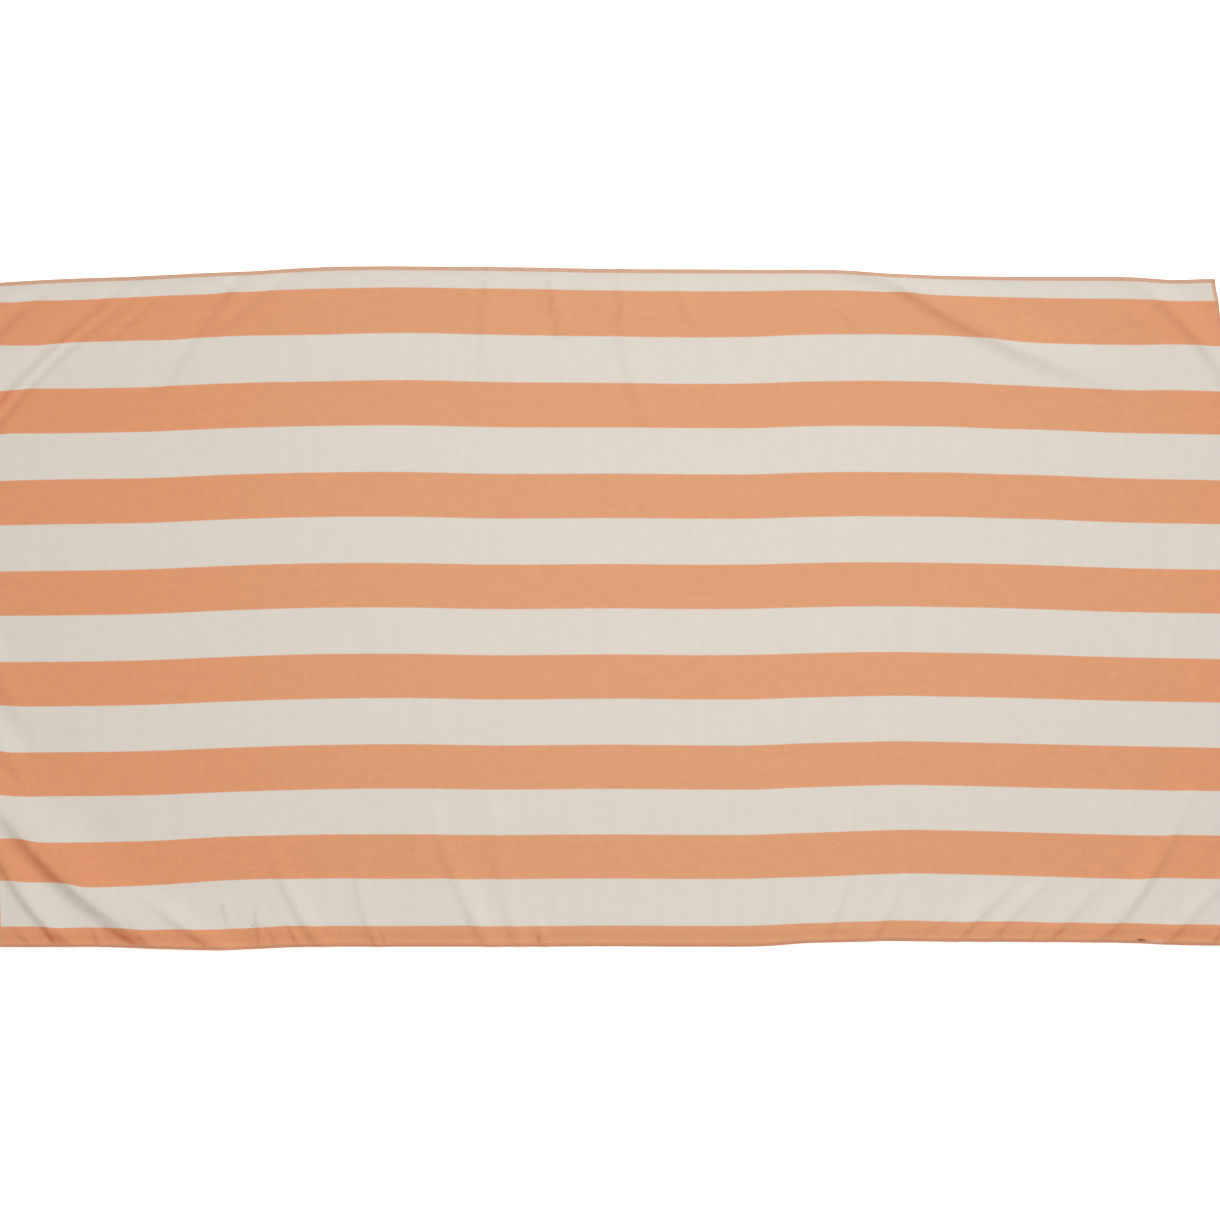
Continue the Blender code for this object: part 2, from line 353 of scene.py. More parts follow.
# Relief of the patterns: the height of each and how strongly it shows
PILE_RELIEF = (0.22, 0.5)
RIB_RELIEF = (0.10, 0.35)
CLOUD_RELIEF = (0.9, 0.35)
PLY_RELIEF = (0.06, 0.6)
RIB_WAVE = {"Scale": 290.0, "Distortion": 3.0, "Detail": 2.0, "Detail Scale": 1.6}

# Roughness of the pile: between which two values of its noise, and from and to what
PILE_ROUGHNESS = (0.3, 0.7, 0.95, 0.82)

# Camera: the place in plan that it looks straight down at, and how wide the picture is at the
# level of the cloth
VIEW_X = -1.33
VIEW_Y = -5.3
VIEW_WIDE = 1622.6
CLOTH_LEVEL = 1.2
LENS = 85.0
SENSOR = 36.0

# Light. The sun's spread is in degrees, and the lamp's place and size are in metres.
AMBIENT = 0.27
SUN_STRENGTH = 2.05
SUN_FROM = (0.16, 1.0, 1.0)
SUN_SPREAD = 24.0
LAMP_POWER = 11.0
LAMP_PLACE = (0.19, 0.27, 1.9)
LAMP_SIZE = 0.9

# Colours, linear
WHITE_YARN = (0.735, 0.672, 0.594)
ORANGE_YARN = (0.737, 0.348, 0.179)
DEEP_ORANGE = (0.765, 0.322, 0.158)
PALE_ORANGE = (0.77, 0.40, 0.225)
THREAD_ORANGE = (0.80, 0.402, 0.229)
LINT = (0.10, 0.09, 0.07)
NIP_SHADE = (0.30, 0.10, 0.04)
BARE_EDGE = (0.80, 0.52, 0.38)

# By how much the colours change under the painted shade on the near flank of a fold and in a
# crease, and under the painted light on the thread
ORANGE_IN_FOLD_SHADE = (1.02, 0.77, 0.66)
WHITE_IN_FOLD_SHADE = (1.06, 0.99, 0.95)
ALL_IN_CREASE_SHADE = (0.80, 0.68, 0.62)
THREAD_IN_NEAR_LIGHT = 1.8

# Marks at fixed places on the towel, one of them the painted shadow of a small nip in the near
# hem. Each is full as far out as SPECK_CORE times its "long" and "tall", and ends at SPECK_EDGE
# times.
SPECK_EDGE = 1.2
SPECK_CORE = 0.5
Speck = namedtuple("Speck", "along across long tall strength colour")
SPECKS_AND_PAINTED_SHADE = (
    Speck(-481.0, -420.0, 1.1, 0.8, 0.75, LINT),
    Speck(-512.0, -322.0, 16.0, 0.35, 0.10, LINT),
    # painted shadow of a small nip in the near hem
    Speck(709.0, -445.6, 7.0, 2.4, 0.8, NIP_SHADE),
    Speck(731.0, -446.6, 13.0, 1.4, 0.8, BARE_EDGE),
)

# Plain settings of the shaders
CLOTH_SHADER = {
    "Metallic": 0.0,
    "Specular IOR Level": 0.15,
    "Sheen Weight": 0.12,
    "Sheen Roughness": 0.5,
    "Sheen Tint": (1.0, 0.95, 0.9, 1.0),
}
THREAD_SHADER = {
    "Roughness": 0.7,
    "Metallic": 0.0,
    "Specular IOR Level": 0.25,
    "Sheen Weight": 0.1,
}
FLOOR_SHADER = {
    "Base Color": (0.86, 0.86, 0.86, 1.0),
    "Roughness": 1.0,
    "Specular IOR Level": 0.0,
    "Emission Color": (1.0, 1.0, 1.0, 1.0),
    "Emission Strength": 0.6,
}

# Floor: half its side and how far it lies below the towel, in metres
FLOOR_REACH = 30.0
FLOOR_DROP = 0.0002


def ease(share):
    """Runs from 0 to 1 with a level start and end."""
    share = np.clip(share, 0.0, 1.0)
    return share * share * (3.0 - 2.0 * share)


def through(stations, values, places):
    """Reads, at each place, the smooth curve that passes through the stations' values."""
    stations = np.array(stations, dtype=float)
    values = np.array(values, dtype=float)
    slopes = np.gradient(values, stations)
    index = np.clip(np.searchsorted(stations, places) - 1, 0, len(stations) - 2)
    run = stations[index + 1] - stations[index]
    share = np.clip((places - stations[index]) / run, 0.0, 1.0)
    start = values[index] * (1.0 - ease(share)) + values[index + 1] * ease(share)
    lead_out = slopes[index] * run * share * (1.0 - share) ** 2
    lead_in = slopes[index + 1] * run * share ** 2 * (share - 1.0)
    return start + lead_out + lead_in


def rim_distance(along, across):
    """How far each place lies inside the cloth's edge."""
    return np.minimum(CLOTH_LENGTH / 2 - np.abs(along), CLOTH_WIDTH / 2 - np.abs(across))


def fold_frame(fold, x, y):
    """Height of the crest beside each place, how far that is to its right, and its way ahead."""
    run = np.array([fold.x1 - fold.x0, fold.y1 - fold.y0], dtype=float)
    length = np.hypot(*run)
    ahead = run / length
    walked = (x - fold.x0) * ahead[0] + (y - fold.y0) * ahead[1]
    share = np.clip(walked / length, 0.0, 1.0)
    rising = fold.h0 + (fold.h1 - fold.h0) * ease(2.0 * share)
    falling = fold.h1 + (fold.h2 - fold.h1) * ease(2.0 * share - 1.0)
    past_end = np.abs(walked - share * length)
    crest = np.where(share < 0.5, rising, falling) * ease(1.0 - past_end / END_RUN)
    to_right = (x - fold.x0) * ahead[1] - (y - fold.y0) * ahead[0]
    return crest, to_right - 4.0 * fold.bow * share * (1.0 - share), ahead


def fold_height(fold, x, y):
    """Height of one fold over each place, which is exactly zero beside it."""
    crest, to_right, _ = fold_frame(fold, x, y)
    to_right = to_right - CREST_SHIFT * fold.steep
    down = np.clip(to_right / fold.steep, 0.0, 1.0)
    rounded = np.sqrt(down ** 2 + CREST_ROUND ** 2) - CREST_ROUND
    steep_side = (1.0 - rounded / (np.sqrt(1.0 + CREST_ROUND ** 2) - CREST_ROUND)) ** 2
    off_crest = np.clip(-to_right / fold.gentle, 0.0, 1.0)
    gentle_side = (1.0 - off_crest) ** 3 * (1.0 + 3.0 * off_crest)
    return crest * np.where(to_right > 0.0, steep_side, gentle_side)


def painted_crease_shade(x, y):
    """How much painted shade lies, from 0 to 1, along the foot of the finest folds."""
    crease_shade_amount = np.zeros_like(x)
    for fold in FINE_FOLDS:
        crest, to_right, _ = fold_frame(fold, x, y)
        crease_shade_amount += crest / CREASE_SHADE_FULL * np.exp(-((to_right - CREASE_AT) / CREASE_WIDE) ** 2)
    return np.clip(crease_shade_amount, 0.0, 1.0)


def relief(x, y):
    """Height of the cloth's under face over each place."""
    return sum(fold_height(fold, x, y) for fold in FOLDS + FINE_FOLDS)


def drawn_in(x, y):
    """How far in y the cloth beside each fold is drawn towards its crest, which took it up."""
    shift = np.zeros_like(x)
    for fold in FOLDS:
        crest, to_right, ahead = fold_frame(fold, x, y)
        side = to_right / np.sqrt(to_right ** 2 + LIFT_CORE ** 2)
        reach = np.exp(-(to_right / LIFT_REACH) ** 2)
        shift += LIFT_OVER_FOLD * crest * ahead[0] * side * reach
    return shift


def lay_out(along, across):
    """Takes places on the cloth to where they lie in plan."""
    left = through([row.y for row in SHORT_EDGES], [row.left for row in SHORT_EDGES], across)
    right = through([row.y for row in SHORT_EDGES], [row.right for row in SHORT_EDGES], across)
    x = left + (along / CLOTH_LENGTH + 0.5) * (right - left)
    inside = np.clip(across, -CLOTH_WIDTH / 2, CLOTH_WIDTH / 2)
    y = across - inside
    lines = (-CLOTH_WIDTH / 2, *INNER_LINES_ACROSS, CLOTH_WIDTH / 2)
    edges = [row.x for row in LONG_EDGES]
    inner = [row.x for row in INNER_LINES]
    heights = [through(edges, [row.bottom for row in LONG_EDGES], x)]
    heights += [through(inner, values, x) for values in list(zip(*INNER_LINES))[1:]]
    heights += [through(edges, [row.top for row in LONG_EDGES], x)]
    for one, height in zip(np.eye(len(lines)), heights):
        y = y + through(lines, one, inside) * height
    y = y + drawn_in(x, y) * ease(rim_distance(along, across) / LIFT_FADE)
    return x, y


def outline_middle():
    """Middle of the laid outline, which is the frame's origin."""
    lengthwise = np.linspace(-CLOTH_LENGTH / 2, CLOTH_LENGTH / 2, OUTLINE_SAMPLES)
    crosswise = np.linspace(-CLOTH_WIDTH / 2, CLOTH_WIDTH / 2, OUTLINE_SAMPLES)
    ends = np.full(OUTLINE_SAMPLES, CLOTH_LENGTH / 2)
    sides = np.full(OUTLINE_SAMPLES, CLOTH_WIDTH / 2)
    along = np.concatenate([lengthwise, lengthwise, ends, -ends])
    across = np.concatenate([sides, -sides, crosswise, crosswise])
    x, y = lay_out(along, across)
    return (x.min() + x.max()) / 2, (y.min() + y.max()) / 2


MIDDLE_X, MIDDLE_Y = outline_middle()


def placed(along, across):
    """Plan place in the frame and the height of the cloth's under face there."""
    x, y = lay_out(along, across)
    return x - MIDDLE_X, y - MIDDLE_Y, relief(x, y)


def waviness(x, y):
    """Low uneven swells of the upper face, from 0 up."""
    swells = []
    for u, v in zip(x / WAVE_LONG, y / WAVE_SHORT):
        ripple = Vector((u * RIPPLE_FINER_LONG, v * RIPPLE_FINER_SHORT, RIPPLE_SEED))
        wave = noise.noise(Vector((u, v, WAVE_SEED)))
        swells.append(wave + RIPPLE_SHARE * noise.noise(ripple))
    return WAVE_HEIGHT * (0.5 + 0.5 * np.clip(swells, -1.0, 1.0))


def net_lines(half, bands):
    """Places of the net's lines one way, from rim to rim."""
    inner = [
        np.linspace(band.start, band.end, int(round((band.end - band.start) / band.step)),
                    endpoint=False)
        for band in bands
    ]
    rim = half - np.array(RIM_LINES)
    return np.concatenate([-rim, *inner, [bands[-1].end], rim[::-1]])


def add_map(mesh, name, places):
    """Gives the mesh a UV map, from a place for each corner of its faces."""
    made = mesh.uv_layers.new(name=name)
    made.uv.foreach_set("vector", np.asarray(places, dtype=np.float32).ravel())


def sheet_mesh(name):
    """Closed sheet: a fine upper face, a wall round the rim and a coarser under face."""
    lines_along = net_lines(CLOTH_LENGTH / 2, ALONG_BANDS)
    lines_across = net_lines(CLOTH_WIDTH / 2, ACROSS_BANDS)
    columns, rows = len(lines_along), len(lines_across)
    along, across = (g.ravel() for g in np.meshgrid(lines_along, lines_across, indexing="ij"))
    x, y, under = placed(along, across)
    from_rim = rim_distance(along, across)
    under = under + SEAM_LIFT * ease(1.0 - (from_rim - SEAM_DEPTH) / SEAM_RISE)
    rounding = RIM_ROUND * ease(1.0 - from_rim / RIM_LINES[-1])
    inland = ease(from_rim / LIFT_FADE)
    top = under + CLOTH_THICK - rounding + waviness(x, y) * inland
    bottom = under + rounding

    def number(column, row):
        return column * rows + row

    kept_columns = sorted(set(range(0, columns, 2)) | {columns - 1})
    kept_rows = sorted(set(range(0, rows, 2)) | {rows - 1})
    wanted = {number(c, r) for c in kept_columns for r in kept_rows}
    wanted |= {number(c, r) for c in range(columns) for r in (0, rows - 1)}
    wanted |= {number(c, r) for c in (0, columns - 1) for r in range(rows)}
    lower = np.array(sorted(wanted))
    lower_number = {net: len(x) + index for index, net in enumerate(lower)}

    upper_faces = [
        (number(c, r), number(c + 1, r), number(c + 1, r + 1), number(c, r + 1))
        for c in range(columns - 1) for r in range(rows - 1)
    ]
    lower_faces = []
    for c0, c1 in zip(kept_columns, kept_columns[1:]):
        for r0, r1 in zip(kept_rows, kept_rows[1:]):
            near = range(c0, c1) if r0 == 0 else (c0,)
            right = range(r0, r1) if c1 == columns - 1 else (r0,)
            far = range(c1, c0, -1) if r1 == rows - 1 else (c1,)
            left = range(r1, r0, -1) if c0 == 0 else (r1,)
            ring = [number(c, r0) for c in near] + [number(c1, r) for r in right]
            ring += [number(c, r1) for c in far] + [number(c0, r) for r in left]
            lower_faces.append([lower_number[net] for net in reversed(ring)])
    rim = [number(c, 0) for c in range(columns - 1)]
    rim += [number(columns - 1, r) for r in range(rows - 1)]
    rim += [number(c, rows - 1) for c in range(columns - 1, 0, -1)]
    rim += [number(0, r) for r in range(rows - 1, 0, -1)]
    wall_faces = [
        (lower_number[a], lower_number[b], b, a) for a, b in zip(rim, rim[1:] + rim[:1])
    ]

    points = np.column_stack([
        np.concatenate([x, x[lower]]),
        np.concatenate([y, y[lower]]),
        np.concatenate([top, bottom[lower]]),
    ]) * MM
    mesh = bpy.data.meshes.new(name)
    mesh.from_pydata(points.tolist(), [], upper_faces + lower_faces + wall_faces)
    mesh.shade_smooth()

    corners = np.empty(len(mesh.loops), dtype=np.int32)
    mesh.loops.foreach_get("vertex_index", corners)
    net = np.concatenate([np.arange(len(x)), lower])[corners]
    on_cloth = np.column_stack([along[net], across[net]])
    # Painted shade along the foot of the fine folds, handed to the material as a UV map
    crease_shade_amount = painted_crease_shade(x, y)[net]
    add_map(mesh, "cloth", on_cloth * MM)
    add_map(mesh, "crease", np.column_stack([crease_shade_amount, crease_shade_amount]))

    # For baking, the upper face and the wall take one half of the tile, the under face the other
    face_of = np.repeat(np.arange(len(mesh.polygons)), [len(p.vertices) for p in mesh.polygons])
    is_wall = face_of >= len(upper_faces) + len(lower_faces)
    is_lower = corners >= len(x)
    half_tile = np.where(is_wall | ~is_lower, 0.5, 0.0)
    outward = np.where(is_wall & is_lower, WALL_SPREAD, 1.0)[:, None]
    share = on_cloth / (CLOTH_LENGTH, CLOTH_WIDTH) * outward + 0.5
    add_map(mesh, "OFBake", np.column_stack([
        TILE_MARGIN + (1.0 - 2.0 * TILE_MARGIN) * share[:, 0],
        half_tile + TILE_MARGIN + (0.5 - 2.0 * TILE_MARGIN) * share[:, 1],
    ]))
    return mesh


def thread_tube(centres, rimward, wide, high, sides, per_cell):
    """One long flattened tube with closed ends.

    Returns its points and faces, the places of the faces' corners on the bake tile, which is
    a grid of cells, and along and round the thread, and the segment of each face.
    """
    tangent = np.gradient(centres, axis=0)
    tangent /= np.linalg.norm(tangent, axis=1)[:, None]
    breadth = rimward - (rimward * tangent).sum(axis=1)[:, None] * tangent
    breadth /= np.linalg.norm(breadth, axis=1)[:, None]
    depth = np.cross(tangent, breadth)
    angles = np.arange(sides) * 2.0 * np.pi / sides
    ring = (
        np.cos(angles)[None, :, None] * breadth[:, None, :] * wide
        + np.sin(angles)[None, :, None] * depth[:, None, :] * high
    )
    points = (centres[:, None, :] + ring).reshape(-1, 3)

    segments = len(centres) - 1
    first = np.arange(segments)[:, None] * sides
    side = np.arange(sides)[None, :]
    after = (side + 1) % sides
    faces = np.stack([first + side, first + after, first + sides + after,
                      first + sides + side], axis=-1).reshape(-1, 4)
    fan = np.array([(0, corner, corner + 1, corner + 2) for corner in range(1, sides - 1, 2)])
    faces = np.concatenate([faces, fan[:, ::-1], fan + segments * sides])

    segment, strip = (
        np.concatenate([numbers, numbers[:len(fan)], numbers[-len(fan):]])
        for numbers in (np.repeat(np.arange(segments), sides), np.tile(np.arange(sides), segments))
    )
    walked = np.concatenate([[0.0], np.cumsum(np.linalg.norm(np.diff(centres, axis=0), axis=1))])
    start, end = walked[segment], walked[segment + 1]
    length = np.stack([start, start, end, end], axis=-1)
    turn = np.stack([strip, strip + 1, strip + 1, strip], axis=-1) / sides

    cells_across = int(np.ceil(np.sqrt(np.ceil(segments / per_cell))))
    cell = segment[:, None] // per_cell
    start = (segment % per_cell) / per_cell
    end = start + 1.0 / per_cell
    in_cell = np.stack([np.stack([start, start, end, end], axis=-1), turn], axis=-1)
    corner_of = np.stack([cell % cells_across, cell // cells_across], axis=-1)
    tile = (corner_of + CELL_INSET + (1.0 - 2.0 * CELL_INSET) * in_cell) / cells_across
    return points, faces, tile, np.stack([length, turn], axis=-1), segment


def stitch_line(pattern, stitches, half, to_cloth):
    """One thread that repeats a stitch pattern along a side of the cloth.

    Returns its centres, the ways to the rim there, and their places on the cloth.
    """
    ahead = np.array([p.ahead for p in pattern])
    inward = np.tile([p.inward for p in pattern], stitches)
    height = np.tile([p.height for p in pattern], stitches)
    station = (np.arange(stitches)[:, None] + ahead[None, :]).ravel()
    station = -half + station * (2.0 * half / stitches)
    along, across = to_cloth(station, inward)
    x, y, under = placed(along, across)
    x2, y2, _ = placed(*to_cloth(station + 1.0, inward))
    rimward = np.column_stack([x2 - x, y2 - y, np.zeros_like(x)])
    return np.column_stack([x, y, under + height]), rimward, np.column_stack([along, across])


def overlock(name, half, to_cloth):
    """Thread of one side: the loops over the edge and the chain that locks them there."""
    stitches = int(round(2.0 * half / STITCH))
    points, faces, tiles, places, on_cloth = [], [], [], [], []
    made = 0
    for pattern, wide, high, sides, stitches_in_cell, tile_from, tile_part in (
        (LOOPER, THREAD_WIDE, THREAD_HIGH, LOOPER_SIDES, 1, 0.0, LOOPS_PART),
        (RIM_CHAIN, CHAIN_RADIUS, CHAIN_RADIUS, CHAIN_SIDES, 2, LOOPS_PART, 1.0 - LOOPS_PART),
    ):
        centres, rimward, spots = stitch_line(pattern, stitches, half, to_cloth)
        tube_points, tube_faces, tile, place, segment = thread_tube(
            centres, rimward, wide, high, sides, stitches_in_cell * len(pattern))
        points.append(tube_points)
        faces.append(tube_faces + made)
        made += len(tube_points)
        tiles.append(tile * (1.0, tile_part) + (0.0, tile_from))
        places.append(place)
        on_cloth.append(np.stack([spots[segment + step] for step in (0, 0, 1, 1)], axis=1))
    points = np.concatenate(points)
    points[:, 2] = np.maximum(points[:, 2], 0.0)
    mesh = bpy.data.meshes.new(name)
    mesh.from_pydata((points * MM).tolist(), [], np.concatenate(faces).tolist())
    mesh.shade_smooth()
    add_map(mesh, "thread", np.concatenate(places))
    add_map(mesh, "cloth", np.concatenate(on_cloth) * MM)
    add_map(mesh, "OFBake", np.concatenate(tiles))
    return mesh


class Tree:
    """Shorthand for building a node tree."""

    def __init__(self, name):
        self.material = bpy.data.materials.new(name)
        self.material.use_nodes = True
        self.tree = self.material.node_tree
        self.shader = self.tree.nodes["Principled BSDF"]

    def node(self, kind, **settings):
        made = self.tree.nodes.new(kind)
        for key, value in settings.items():
            setattr(made, key, value)
        return made

    def link(self, output, target):
        self.tree.links.new(output, target)

    def put(self, target, value):
        if isinstance(value, bpy.types.NodeSocket):
            self.link(value, target)
        else:
            target.default_value = value

    def math(self, operation, a, b=0.0, c=0.0):
        made = self.node("ShaderNodeMath", operation=operation)
        for socket, value in zip(made.inputs, (a, b, c)):
            self.put(socket, value)
        return made.outputs[0]

    def ramp(self, value, low, high, to_low=0.0, to_high=1.0):
        made = self.node("ShaderNodeMapRange", interpolation_type="SMOOTHSTEP")
        for key, number in zip(
            ("Value", "From Min", "From Max", "To Min", "To Max"),
            (value, low, high, to_low, to_high),
        ):
            self.put(made.inputs[key], number)
        return made.outputs["Result"]

    def mix(self, share, a, b):
        made = self.node("ShaderNodeMix", data_type="RGBA")
        self.put(made.inputs[0], share)
        self.put(made.inputs[6], a if isinstance(a, bpy.types.NodeSocket) else (*a, 1.0))
        self.put(made.inputs[7], b if isinstance(b, bpy.types.NodeSocket) else (*b, 1.0))
        return made.outputs[2]

    def scaled(self, colour, amount):
        """The colour, made lighter or darker by a factor."""
        made = self.node("ShaderNodeVectorMath", operation="SCALE")
        self.put(made.inputs[0], colour)
        self.put(made.inputs["Scale"], amount)
        return made.outputs[0]

    def varied(self, tone, pattern, amount):
        """The tone, moved by a pattern as far up as down."""
        moved = self.math("MULTIPLY_ADD", pattern, amount, -amount / 2.0)
        return self.math("ADD", tone, moved)

    def stretched(self, vector, scale):
        made = self.node("ShaderNodeVectorMath", operation="MULTIPLY")
        self.put(made.inputs[0], vector)
        self.put(made.inputs[1], scale)
        return made.outputs[0]

    def distance(self, place, point):
        made = self.node("ShaderNodeVectorMath", operation="DISTANCE")
        self.put(made.inputs[0], place)
        self.put(made.inputs[1], point)
        return made.outputs["Value"]

    def parts(self, vector):
        made = self.node("ShaderNodeSeparateXYZ")
        self.put(made.inputs[0], vector)
        return made.outputs

    def place_on(self, name):
        """Places on a UV map of the piece."""
        return self.node("ShaderNodeUVMap", uv_map=name).outputs["UV"]

    def lean_to_far(self):
        """How far the surface leans towards the far side, negative towards the near side."""
        return self.parts(self.node("ShaderNodeTexCoord").outputs["Normal"])[1]

    def noise(self, place, grain):
        made = self.node("ShaderNodeTexNoise")
        self.put(made.inputs["Vector"], self.stretched(place, (grain.along, grain.across, 1.0)))
        self.put(made.inputs["Scale"], 1.0)
        self.put(made.inputs["Detail"], grain.detail)
        self.put(made.inputs["Roughness"], grain.rough)
        return made.outputs["Fac"]

    def specked_and_shaded(self, colour, place):
        """The colour, with the marks that lie at fixed places on the towel and the painted shadow
        of a nip.
        """
        for speck in SPECKS_AND_PAINTED_SHADE:
            shape = (1.0 / speck.long, 1.0 / speck.tall, 0.0)
            middle = (speck.along * MM * shape[0], speck.across * MM * shape[1], 0.0)
            away = self.distance(self.stretched(place, shape), middle)
            spot = self.ramp(away, SPECK_EDGE * MM, SPECK_CORE * MM, 0.0, speck.strength)
            colour = self.mix(spot, colour, speck.colour)
        return colour

    def bump(self, height, high, strength, under=None):
        made = self.node("ShaderNodeBump")
        self.put(made.inputs["Strength"], strength)
        self.put(made.inputs["Distance"], high * MM)
        self.put(made.inputs["Height"], height)
        if under is not None:
            self.link(under, made.inputs["Normal"])
        return made.outputs["Normal"]

    def material_with(self, settings):
        """The material, after these plain settings of its shader."""
        for key, value in settings.items():
            self.put(self.shader.inputs[key], value)
        return self.material


def cloth_material():
    """Two yarn colours in wide stripes, heathered, in a fine ribbed knit with a short pile."""
    t = Tree("towel_cloth")
    place = t.place_on("cloth")
    across = t.parts(place)[1]

    # Stripes, with a slightly ragged border where the yarns meet
    border = t.varied(across, t.noise(place, RAGGED_GRAIN), BORDER_RAGGED * MM)
    half_stripe = STRIPE_WIDTH / STRIPE_PITCH / 2.0
    turn = t.math("DIVIDE", t.math("SUBTRACT", STRIPE_FIRST * MM, border), STRIPE_PITCH * MM)
    from_centre = t.math("PINGPONG", t.math("SUBTRACT", turn, half_stripe), 0.5)
    soft = BORDER_SOFT / STRIPE_PITCH
    stripe = t.ramp(from_centre, half_stripe + soft, half_stripe - soft)

    # Heather: short light and dark lengths of yarn that lie along the stripes
    fleck = t.noise(place, FLECK_GRAIN)
    light_fleck = t.ramp(fleck, *LIGHT_FLECK)
    dark_fleck = t.ramp(fleck, *DARK_FLECK)
    cloud = t.noise(place, CLOUD_GRAIN)
    mottle = t.noise(place, MOTTLE_GRAIN)

    # Slubs: sparse thicker places in the yarn, which show more towards the near side
    slub = t.noise(place, SLUB_GRAIN)
    slubs = t.math("SUBTRACT", t.ramp(slub, *LIGHT_SLUB), t.ramp(slub, *DARK_SLUB))
    coarse = t.ramp(across, *SLUB_GROWTH)

    orange_tone = t.math("MULTIPLY_ADD", light_fleck, FLECKS_IN_ORANGE, 1.0)
    orange_tone = t.math("MULTIPLY_ADD", dark_fleck, -FLECKS_IN_ORANGE, orange_tone)
    orange_tone = t.math("ADD", orange_tone, t.math("MULTIPLY", slubs, coarse))
    orange_tone = t.varied(orange_tone, cloud, CLOUD_IN_ORANGE)
    orange_tone = t.varied(orange_tone, t.noise(place, ROW_GRAIN), ROWS_IN_ORANGE)
    orange_tone = t.varied(orange_tone, mottle, MOTTLE_IN_ORANGE)
    white_tone = t.math("MULTIPLY_ADD", dark_fleck, -DARK_FLECKS_IN_WHITE, 1.0)
    white_tone = t.varied(white_tone, cloud, CLOUD_IN_WHITE)
    white_tone = t.varied(white_tone, mottle, MOTTLE_IN_WHITE)
    white_tone = t.varied(white_tone, t.noise(place, RIB_GRAIN), RIBS_IN_WHITE)

    # The orange is deeper away from the middle of the towel
    off_middle = t.distance(t.stretched(place, PALE_STRETCH), PALE_MIDDLE)
    yarn = t.mix(t.ramp(off_middle, *PALE_REACH), ORANGE_YARN, DEEP_ORANGE)
    orange = t.scaled(t.mix(light_fleck, yarn, PALE_ORANGE), orange_tone)
    white = t.scaled(WHITE_YARN, white_tone)

    # Painted shade: the colour deepens on the near flank of a fold, which faces away from the sun,
    # and darkens in a crease
    painted_fold_shade = t.ramp(t.lean_to_far(), *FOLD_SHADE_LEAN)
    orange = t.mix(painted_fold_shade, orange, t.stretched(orange, ORANGE_IN_FOLD_SHADE))
    white = t.mix(painted_fold_shade, white, t.stretched(white, WHITE_IN_FOLD_SHADE))
    colour = t.mix(stripe, white, orange)
    crease_shade_amount = t.parts(t.place_on("crease"))[0]
    colour = t.mix(crease_shade_amount, colour, t.stretched(colour, ALL_IN_CREASE_SHADE))
    t.link(t.specked_and_shaded(colour, place), t.shader.inputs["Base Color"])

    # Relief: loops of the pile, knit ribs along the cloth, and a broader unevenness
    rib = t.node("ShaderNodeTexWave", wave_type="BANDS", bands_direction="Y")
    for key, value in {"Vector": place, **RIB_WAVE}.items():
        t.put(rib.inputs[key], value)
    loops = t.noise(place, PILE_GRAIN)
    grain = t.bump(loops, *PILE_RELIEF)
    grain = t.bump(rib.outputs["Fac"], *RIB_RELIEF, grain)
    grain = t.bump(cloud, *CLOUD_RELIEF, grain)
    t.link(grain, t.shader.inputs["Normal"])
    t.link(t.ramp(loops, *PILE_ROUGHNESS), t.shader.inputs["Roughness"])
    return t.material_with(CLOTH_SHADER)


def thread_material():
    """Two-ply orange sewing thread."""
    t = Tree("overlock_thread")
    place = t.place_on("thread")
    length, turn, _ = t.parts(place)
    twist = t.math("ADD", t.math("MULTIPLY", length, PLY_TURNS), t.math("MULTIPLY", turn, PLIES))
    # Painted shade in the groove between the plies
    ply = t.ramp(t.math("PINGPONG", twist, 0.5), 0.0, PLY_GROOVE)
    tone = t.math("MULTIPLY_ADD", ply, PLY_ADDS, GROOVE_SHADE)
    tone = t.varied(tone, t.noise(place, PATCH_GRAIN), PATCHES_IN_THREAD)

    # Painted light: on the near side of each turn, which faces away from the sun, the thread is
    # made lighter
    painted_near_light = t.ramp(t.lean_to_far(), *NEAR_LIGHT_LEAN, 1.0, THREAD_IN_NEAR_LIGHT)
    colour = t.scaled(THREAD_ORANGE, t.math("MULTIPLY", tone, painted_near_light))
    t.link(t.specked_and_shaded(colour, t.place_on("cloth")), t.shader.inputs["Base Color"])
    t.link(t.bump(ply, *PLY_RELIEF), t.shader.inputs["Normal"])
    return t.material_with(THREAD_SHADER)


def add_piece(mesh, material):
    piece = bpy.data.objects.new(mesh.name, mesh)
    bpy.context.scene.collection.objects.link(piece)
    mesh.materials.append(material)
    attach(piece, BODY)
    return piece


def aimed(thing, place, target):
    thing.location = place
    thing.rotation_euler = (Vector(target) - Vector(place)).to_track_quat("-Z", "Y").to_euler()
    bpy.context.scene.collection.objects.link(thing)
    return thing


def make_camera():
    lens = bpy.data.cameras.new("camera")
    lens.lens = LENS
    lens.sensor_width = SENSOR
    camera = bpy.data.objects.new("camera", lens)
    away = VIEW_WIDE * LENS / SENSOR + CLOTH_LEVEL
    camera.location = ((VIEW_X - MIDDLE_X) * MM, (VIEW_Y - MIDDLE_Y) * MM, away * MM)
    bpy.context.scene.collection.objects.link(camera)
    bpy.context.scene.camera = camera


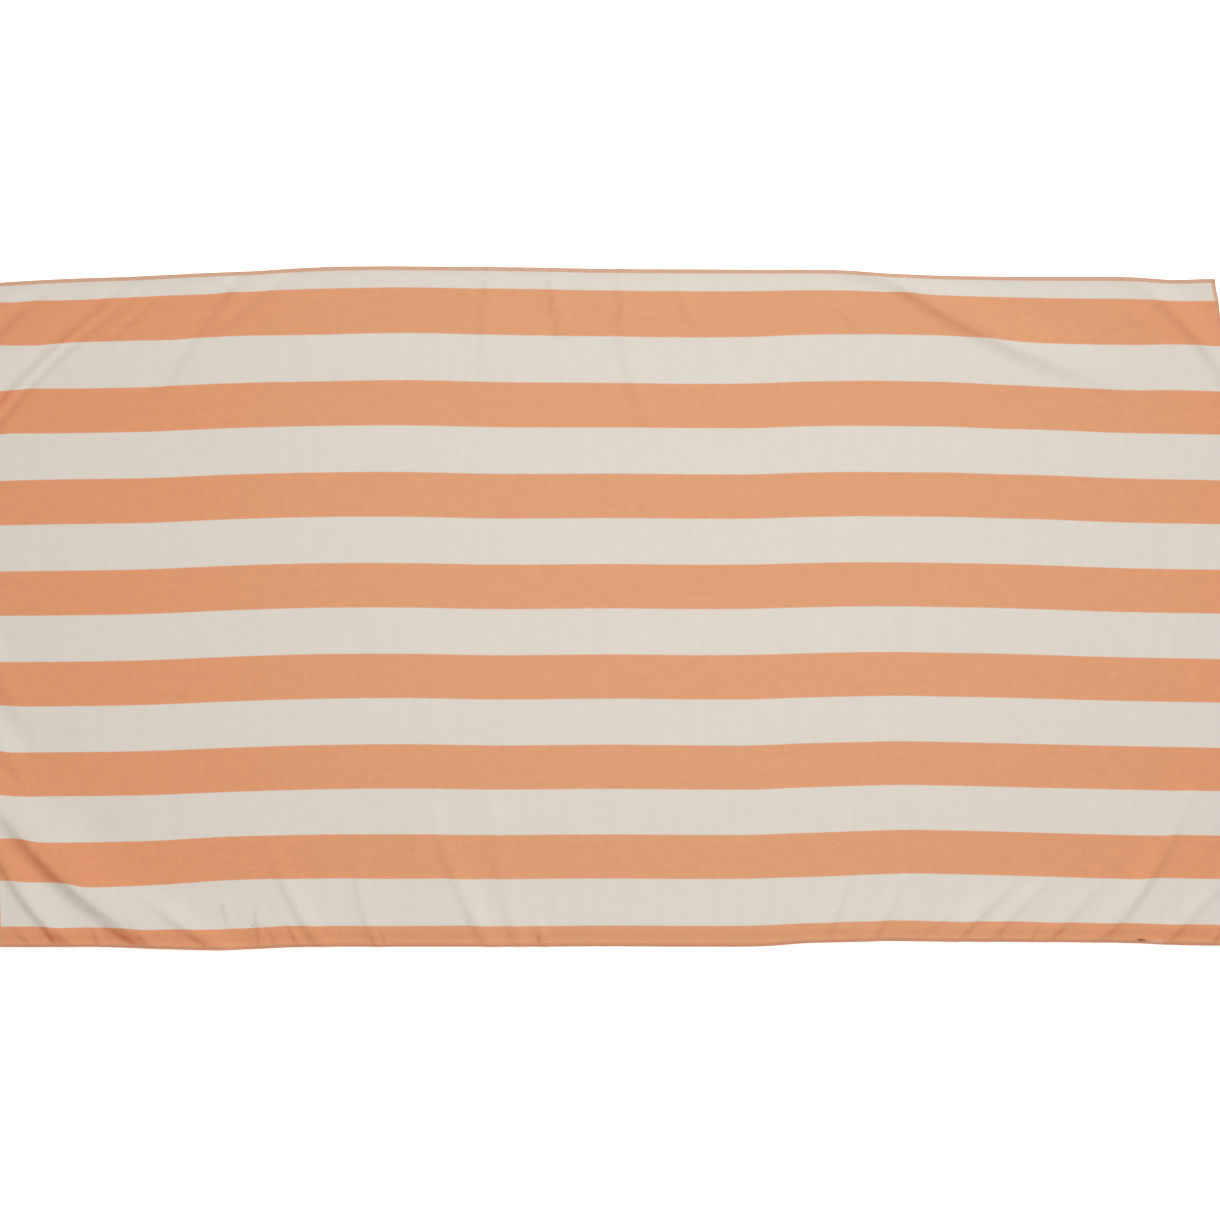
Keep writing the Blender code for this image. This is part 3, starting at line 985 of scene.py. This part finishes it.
def make_floor():
    """Wide white floor, lit to plain white, on which the towel still drops its shade."""
    mesh = bpy.data.meshes.new("floor")
    corners = [
        (x * FLOOR_REACH, y * FLOOR_REACH, -FLOOR_DROP)
        for x, y in ((-1, -1), (1, -1), (1, 1), (-1, 1))
    ]
    mesh.from_pydata(corners, [], [(0, 1, 2, 3)])
    floor = bpy.data.objects.new("floor", mesh)
    bpy.context.scene.collection.objects.link(floor)
    mesh.materials.append(Tree("floor").material_with(FLOOR_SHADER))


def make_lights():
    scene = bpy.context.scene
    scene.view_settings.view_transform = "Standard"
    scene.world = bpy.data.worlds.new("studio")
    scene.world.use_nodes = True
    tree = scene.world.node_tree
    background = tree.nodes["Background"]
    ray = tree.nodes.new("ShaderNodeLightPath")
    shown = tree.nodes.new("ShaderNodeMapRange")
    shown.inputs["To Min"].default_value = AMBIENT
    shown.inputs["To Max"].default_value = 1.0
    tree.links.new(ray.outputs["Is Camera Ray"], shown.inputs["Value"])
    tree.links.new(shown.outputs["Result"], background.inputs["Strength"])
    background.inputs["Color"].default_value = (1.0, 1.0, 1.0, 1.0)

    sun = bpy.data.lights.new("key", "SUN")
    sun.energy = SUN_STRENGTH
    sun.angle = np.radians(SUN_SPREAD)
    aimed(bpy.data.objects.new("key", sun), SUN_FROM, (0.0, 0.0, 0.0))

    lamp = bpy.data.lights.new("overhead", "AREA")
    lamp.energy = LAMP_POWER
    lamp.shape = "DISK"
    lamp.size = LAMP_SIZE
    overhead = bpy.data.objects.new("overhead", lamp)
    overhead.location = LAMP_PLACE
    overhead.visible_camera = False
    bpy.context.scene.collection.objects.link(overhead)


def main():
    make_camera()
    cloth = add_piece(sheet_mesh("towel_sheet"), cloth_material())
    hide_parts(NODE)
    thread = thread_material()
    half_length, half_width = CLOTH_LENGTH / 2, CLOTH_WIDTH / 2
    seams = [
        add_piece(overlock(name, half, to_cloth), thread)
        for name, half, to_cloth in (
            ("overlock_near", half_length, lambda s, d: (s, -half_width + d)),
            ("overlock_far", half_length, lambda s, d: (s, half_width - d)),
            ("overlock_left", half_width, lambda s, d: (-half_length + d, s)),
            ("overlock_right", half_width, lambda s, d: (half_length - d, s)),
        )
    ]
    make_floor()
    make_lights()


main()
